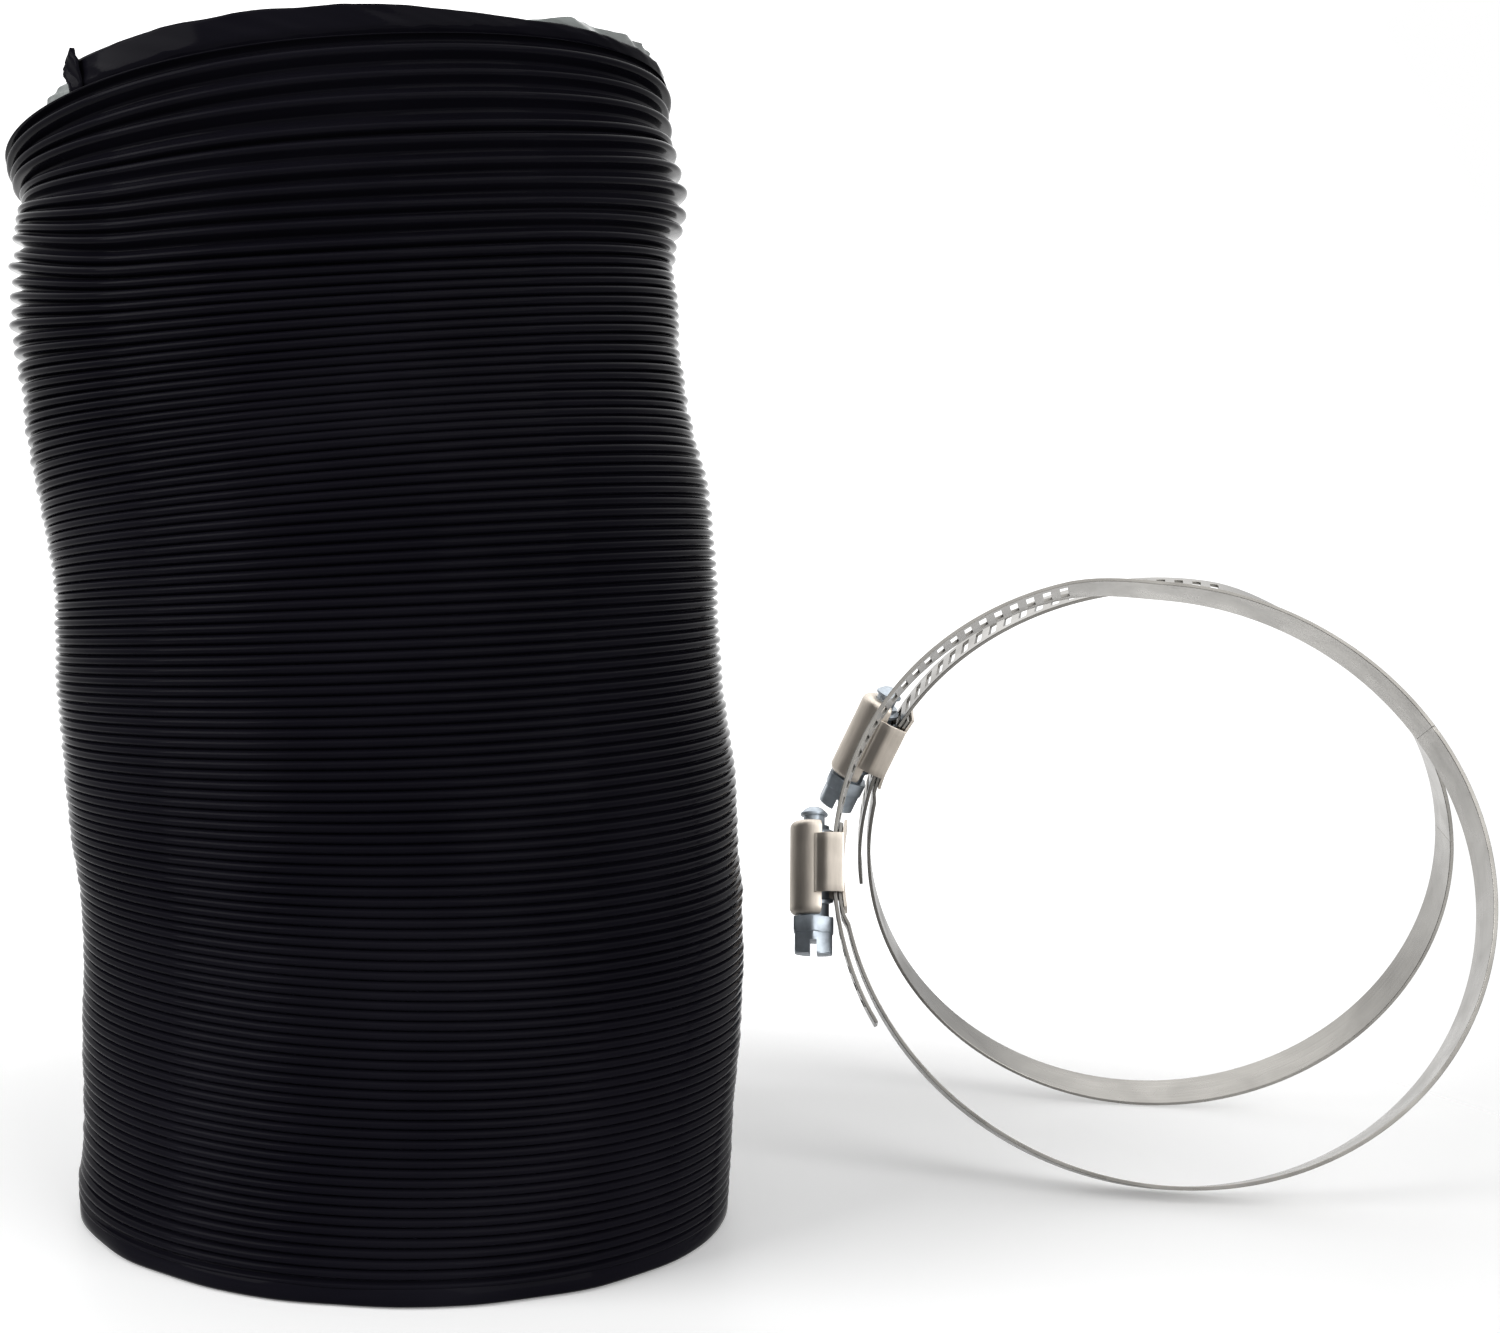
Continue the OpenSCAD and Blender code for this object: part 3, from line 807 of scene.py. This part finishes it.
def hexagon(name, low, high, flats, chamfer):
    """A hexagon along the screw, its corners turned round at one end."""
    def radius_at(station, angle):
        near = ((angle + math.pi / 6) % (math.pi / 3)) - math.pi / 6
        corner = min(flats / 2 / math.cos(near), flats / 2 * 1.125)
        return min(corner, flats / 2 * (1.13 - 0.13 * station[1]))

    # along the screw, and how much of the corners is turned away there
    stations = [(low, 0.0), (low + 0.02, 0.0), (high - chamfer, 0.0), (high - chamfer * 0.5, 0.25),
                (high, 1.0)]
    return round_solid(name, stations, radius_at, 72, sharp_from=18)


def worm_thread(name):
    """One ridge wound right-handed, in step with the band's slots. It grows and dies away at its ends."""
    points = []
    turns_of_thread, steps = 5, 36
    ridge = np.linspace(thread_low, thread_high, turns_of_thread * steps + 1)
    for y in ridge:
        phase = 2 * math.pi * y / slot_pitch + math.pi
        grow = max(min(1, (y - thread_low) / thread_run_out, (thread_high - y) / thread_run_out), 0)
        crest = worm_core + thread_height * grow
        for dy, r in ((-thread_half_root, thread_root), (-thread_half_crest, crest),
                      (thread_half_crest, crest), (thread_half_root, thread_root)):
            points.append((r * math.cos(phase) * mm, (y + dy) * mm, -r * math.sin(phase) * mm))
    return add_piece(name, points, grid_faces(len(ridge), 4), sharp_from=35)


def cut_driver_slot(head):
    """Cuts the slot for the screwdriver, with a box that stands out past the head's end and sides."""
    past_end, past_sides = 18, 6
    box = bpy.data.meshes.new("slot_cutter")
    corners = [(x * mm, y * mm, z * mm) for x in (-driver_slot_half, driver_slot_half)
               for y in (driver_slot_foot, past_end) for z in (-past_sides, past_sides)]
    box.from_pydata(corners, [], [(0, 1, 3, 2), (4, 6, 7, 5), (0, 4, 5, 1), (2, 3, 7, 6), (0, 2, 6, 4),
                                  (1, 5, 7, 3)])
    cutter = bpy.data.objects.new("slot_cutter", box)
    bpy.context.scene.collection.objects.link(cutter)
    cut = head.modifiers.new("slot", "BOOLEAN")
    cut.object = cutter
    cut.operation = "DIFFERENCE"
    cut.solver = "EXACT"
    apply_modifiers(head)
    bpy.data.objects.remove(cutter)


for side in ("front", "rear"):
    shank = round_solid(side + "_shank", shank_line, lambda station, angle: station[1], 48, sharp_from=40)
    thread = worm_thread(side + "_thread")
    flange = hexagon(side + "_head_flange", low=9.45, high=12.3, flats=7.0, chamfer=0.4)
    head = hexagon(side + "_head", low=12.25, high=16.05, flats=6.6, chamfer=0.5)
    cut_driver_slot(head)
    for piece in (flange, head):
        round_edges(piece, 0.12 * mm, 35)
        apply_modifiers(piece)
    for piece in (shank, thread, flange, head):
        piece.data.materials.append(zinc_steel)
        piece.matrix_world = clamp_places[side] @ Matrix.Translation(Vector((worm_x * mm, 0, 0)))
        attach(piece, side + "_worm")
    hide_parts(side + "_screw")


# ---- Floor, light and camera --------------------------------------------------------------------
# A plain pale floor that fades into a white backdrop, two large soft lamps and a level camera.

# in metres: it lies a hair under the object, so that no two faces share a place
floor_half, floor_drop = 3, 0.0003
floor_mesh = bpy.data.meshes.new("floor")
floor_mesh.from_pydata([(-floor_half, -floor_half, 0), (floor_half, -floor_half, 0),
                        (floor_half, floor_half, 0), (-floor_half, floor_half, 0)], [], [(0, 1, 2, 3)])
floor = bpy.data.objects.new("floor", floor_mesh)
floor.location = (0, 0, -floor_drop)
bpy.context.scene.collection.objects.link(floor)

floor_white = new_material("floor_white", Base_Color=(0.97, 0.97, 0.97, 1), Roughness=0.5,
                           Specular_IOR_Level=0.2)
tree = floor_white.node_tree
where = add_node(tree, "TexCoord")
shift = add_node(tree, "Mapping", {"Location": (-0.01, -0.02, 0)})
distance = add_node(tree, "VectorMath", operation="LENGTH")
fade = add_node(tree, "MapRange", {"From Min": 0.08, "From Max": 0.27}, interpolation_type="SMOOTHSTEP")
seen_floor = add_node(tree, "LightPath")
glow_strength = add_node(tree, "Math", {1: 0.15}, operation="MULTIPLY")
glow = add_node(tree, "Emission", {"Color": (1, 1, 1, 1)})
lit_floor = add_node(tree, "AddShader")
clear = add_node(tree, "BsdfTransparent")
blend = add_node(tree, "MixShader")
connect(tree,
        (where.outputs["Object"], shift.inputs["Vector"]),
        (shift.outputs["Vector"], distance.inputs[0]),
        (distance.outputs["Value"], fade.inputs["Value"]),
        (fade.outputs[0], blend.inputs[0]),
        (seen_floor.outputs["Is Camera Ray"], glow_strength.inputs[0]),
        (glow_strength.outputs[0], glow.inputs["Strength"]),
        (tree.nodes["Principled BSDF"].outputs[0], lit_floor.inputs[0]),
        (glow.outputs[0], lit_floor.inputs[1]),
        (lit_floor.outputs[0], blend.inputs[1]),
        (clear.outputs[0], blend.inputs[2]),
        (blend.outputs[0], tree.nodes["Material Output"].inputs["Surface"]))
floor.data.materials.append(floor_white)

# the room: soft light all round, and for the camera and for reflections a white backdrop that is
# stronger behind the object, above and below
world = bpy.data.worlds.new("studio")
bpy.context.scene.world = world
world.use_nodes = True
tree = world.node_tree
room = tree.nodes["Background"]
room.inputs["Color"].default_value = (1, 1, 1, 1)
room.inputs["Strength"].default_value = 0.35
backdrop = add_node(tree, "Background", {"Color": (1, 1, 1, 1)})
direction = add_node(tree, "TexCoord")
parts = add_node(tree, "SeparateXYZ")
behind = add_node(tree, "MapRange", {"From Min": 0.75, "From Max": 0.99, "To Min": 0.8, "To Max": 1.5},
                  interpolation_type="SMOOTHSTEP")
upright = add_node(tree, "Math", operation="ABSOLUTE")
level_light = add_node(tree, "MapRange", {"From Min": 0.30, "From Max": 0.75, "To Min": 1.0, "To Max": 3.0})
around_light = add_node(tree, "Math", operation="MULTIPLY")
ray = add_node(tree, "LightPath")
seen = add_node(tree, "Math", operation="MAXIMUM")
brightness = add_node(tree, "Math", operation="MAXIMUM")
backdrop_rays = add_node(tree, "Math", operation="MAXIMUM")
pick = add_node(tree, "MixShader")
connect(tree,
        (direction.outputs["Generated"], parts.inputs[0]),
        (parts.outputs["Y"], behind.inputs["Value"]),
        (parts.outputs["Z"], upright.inputs[0]),
        (upright.outputs[0], level_light.inputs["Value"]),
        (behind.outputs[0], around_light.inputs[0]),
        (level_light.outputs[0], around_light.inputs[1]),
        (ray.outputs["Is Camera Ray"], seen.inputs[0]),
        (ray.outputs["Is Transmission Ray"], seen.inputs[1]),
        (seen.outputs[0], brightness.inputs[0]),
        (around_light.outputs[0], brightness.inputs[1]),
        (brightness.outputs[0], backdrop.inputs["Strength"]),
        (seen.outputs[0], backdrop_rays.inputs[0]),
        (ray.outputs["Is Glossy Ray"], backdrop_rays.inputs[1]),
        (backdrop_rays.outputs[0], pick.inputs[0]),
        (room.outputs[0], pick.inputs[1]),
        (backdrop.outputs[0], pick.inputs[2]),
        (pick.outputs[0], tree.nodes["World Output"].inputs["Surface"]))

lamp_aim = Vector((0.04, 0, 0.08))
lamps = [("key", (-0.75, -0.35, 0.5), 0.6, 7.5), ("fill", (0.6, -0.7, 0.4), 0.8, 6.0)]
for name, place, size, power in lamps:
    lamp = bpy.data.lights.new(name, "AREA")
    lamp.size = size
    lamp.energy = power
    light = bpy.data.objects.new(name, lamp)
    light.location = place
    light.rotation_euler = (lamp_aim - Vector(place)).to_track_quat("-Z", "Y").to_euler()
    bpy.context.scene.collection.objects.link(light)

bpy.context.scene.view_settings.view_transform = "Standard"
lens = bpy.data.cameras.new("camera")
lens.lens = 42.19
lens.sensor_width = 36
lens.shift_x = 0.2253
lens.shift_y = -0.0063
lens.clip_start = 0.01
camera = bpy.data.objects.new("camera", lens)
camera.location = (0.001, -0.297, 0.090)
camera.rotation_euler = (math.pi / 2, 0, 0)
bpy.context.scene.collection.objects.link(camera)
bpy.context.scene.camera = camera
